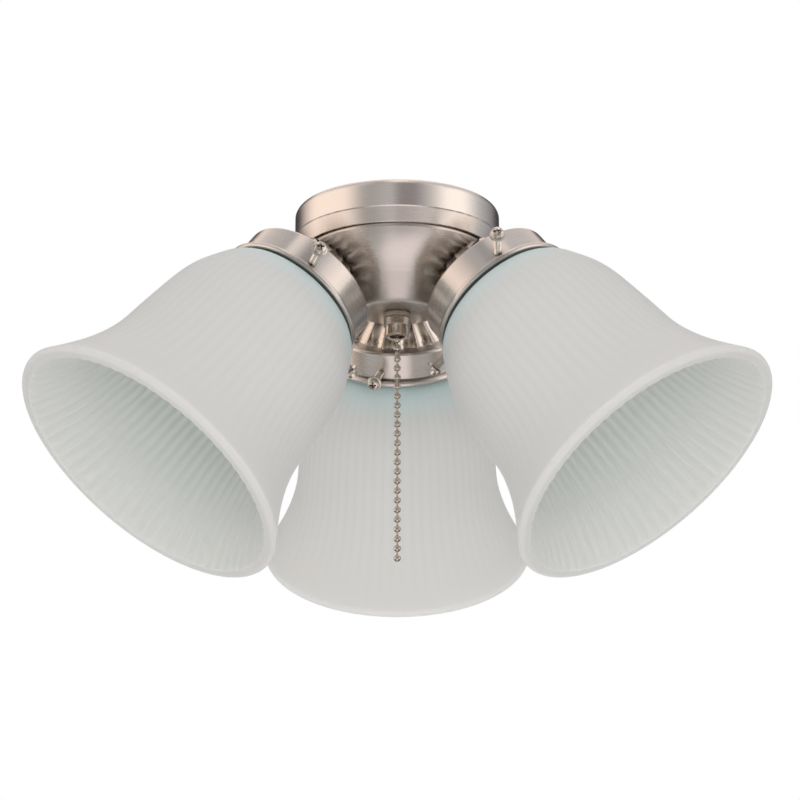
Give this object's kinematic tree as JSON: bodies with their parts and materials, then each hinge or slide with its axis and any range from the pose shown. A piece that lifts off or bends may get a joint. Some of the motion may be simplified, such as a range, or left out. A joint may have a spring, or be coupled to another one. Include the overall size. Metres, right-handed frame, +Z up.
{
  "type": "ceiling fan light kit",
  "caption": "Ceiling fan light kit: round nickel cap and conical housing, fluted arms with ribbed frosted glass bell shades, thumb screws and a pull-chain switch.",
  "frame": {"origin": "centre of the cap's flat top, on the axis of the hollow mounting nipple", "axes": "+Z up along the nipple, +Y along the rear arm, X across"},
  "size_m": [0.3096, 0.2856, 0.1823],
  "materials": {
    "brass": "plain brass",
    "frosted_glass": "etched pressed glass, ribbed inside",
    "nickel": "brushed nickel plate, lacquered",
    "phenolic": "moulded phenolic",
    "polished_nickel": "bright nickel plate",
    "porcelain": "white glazed porcelain",
    "zinc_steel": "zinc plated steel"
  },
  "bodies": {
    "kit": {"cap": "nickel", "housing": "nickel", "crossbar": "zinc_steel", "mounting_nipple": "zinc_steel", "cap_nut": "zinc_steel", "lock_washer": "zinc_steel", "crossbar_nut": "zinc_steel", "switch_case": "phenolic", "switch_cover": "zinc_steel", "contact_blades": "brass", "drum_pin": "zinc_steel", "return_spring": "zinc_steel", "switch_bushing": "polished_nickel", "switch_nut": "polished_nickel", "chain_nozzle": "polished_nickel", "rear_neck": "nickel", "rear_arm_nipple": "zinc_steel", "rear_arm_nut": "zinc_steel", "rear_cup": "nickel", "rear_socket_body": "porcelain", "rear_screw_shell": "brass", "rear_centre_contact": "brass", "rear_shade": "frosted_glass", "left_neck": "nickel", "left_arm_nipple": "zinc_steel", "left_arm_nut": "zinc_steel", "left_cup": "nickel", "left_socket_body": "porcelain", "left_screw_shell": "brass", "left_centre_contact": "brass", "left_shade": "frosted_glass", "right_neck": "nickel", "right_arm_nipple": "zinc_steel", "right_arm_nut": "zinc_steel", "right_cup": "nickel", "right_socket_body": "porcelain", "right_screw_shell": "brass", "right_centre_contact": "brass", "right_shade": "frosted_glass"},
    "inner_chain": {"inner_chain": "polished_nickel"},
    "chain_coupling": {"chain_coupling": "polished_nickel"},
    "hanging_chain": {"hanging_chain": "polished_nickel"},
    "chain_drum": {"chain_drum": "phenolic"},
    "contact_rotor": {"contact_rotor": "phenolic"},
    "rear_thumb_screw_1": {"rear_thumb_screw_1": "polished_nickel"},
    "rear_thumb_screw_2": {"rear_thumb_screw_2": "polished_nickel"},
    "rear_thumb_screw_3": {"rear_thumb_screw_3": "polished_nickel"},
    "left_thumb_screw_1": {"left_thumb_screw_1": "polished_nickel"},
    "left_thumb_screw_2": {"left_thumb_screw_2": "polished_nickel"},
    "left_thumb_screw_3": {"left_thumb_screw_3": "polished_nickel"},
    "right_thumb_screw_1": {"right_thumb_screw_1": "polished_nickel"},
    "right_thumb_screw_2": {"right_thumb_screw_2": "polished_nickel"},
    "right_thumb_screw_3": {"right_thumb_screw_3": "polished_nickel"}
  },
  "joints": [
    {"name": "chain_pull", "type": "slide", "parent": "kit", "child": "inner_chain", "axis": [0, 0, -1], "range_m": [0, 0.008], "stiffness_N_per_m": 1000, "springref_m": -0.003},
    {"name": "chain_swing_front", "type": "hinge", "parent": "inner_chain", "child": "chain_coupling", "pos_m": [0, 0, -0.0587], "axis": [1, 0, 0], "range_deg": [-20, 20]},
    {"name": "chain_swing_side", "type": "hinge", "parent": "chain_coupling", "child": "hanging_chain", "pos_m": [0, 0, -0.0626], "axis": [0, 1, 0], "range_deg": [-20, 20]},
    {"name": "drum_turn", "type": "hinge", "parent": "kit", "child": "chain_drum", "pos_m": [-0.004, 0, -0.0375], "axis": [0, 1, 0], "range_deg": [0, 115]},
    {"name": "rotor_turn", "type": "hinge", "parent": "kit", "child": "contact_rotor", "pos_m": [-0.004, 0, -0.0375], "axis": [0, 1, 0], "continuous": true},
    {"name": "rear_thumb_screw_1_travel", "type": "slide", "parent": "kit", "child": "rear_thumb_screw_1", "axis": [-0.2419, -0.7541, -0.6106], "range_m": [0, 0.005]},
    {"name": "rear_thumb_screw_2_travel", "type": "slide", "parent": "kit", "child": "rear_thumb_screw_2", "axis": [-0.7193, 0.5399, 0.4372], "range_m": [0, 0.005]},
    {"name": "rear_thumb_screw_3_travel", "type": "slide", "parent": "kit", "child": "rear_thumb_screw_3", "axis": [0.9613, 0.2142, 0.1735], "range_m": [0, 0.005]},
    {"name": "left_thumb_screw_1_travel", "type": "slide", "parent": "kit", "child": "left_thumb_screw_1", "axis": [0.5544, 0.5601, -0.6156], "range_m": [0, 0.005]},
    {"name": "left_thumb_screw_2_travel", "type": "slide", "parent": "kit", "child": "left_thumb_screw_2", "axis": [0.2745, -0.9428, 0.1892], "range_m": [0, 0.005]},
    {"name": "left_thumb_screw_3_travel", "type": "slide", "parent": "kit", "child": "left_thumb_screw_3", "axis": [-0.8219, 0.3836, 0.4211], "range_m": [0, 0.005]},
    {"name": "right_thumb_screw_1_travel", "type": "slide", "parent": "kit", "child": "right_thumb_screw_1", "axis": [-0.6552, 0.4186, -0.6289], "range_m": [0, 0.005]},
    {"name": "right_thumb_screw_2_travel", "type": "slide", "parent": "kit", "child": "right_thumb_screw_2", "axis": [0.7695, 0.5557, 0.3147], "range_m": [0, 0.005]},
    {"name": "right_thumb_screw_3_travel", "type": "slide", "parent": "kit", "child": "right_thumb_screw_3", "axis": [-0.0528, -0.9379, 0.3428], "range_m": [0, 0.005]}
  ],
  "couplings": [
    {"joint": "drum_turn", "follows": "chain_pull", "rad_per_m": 250}
  ]
}
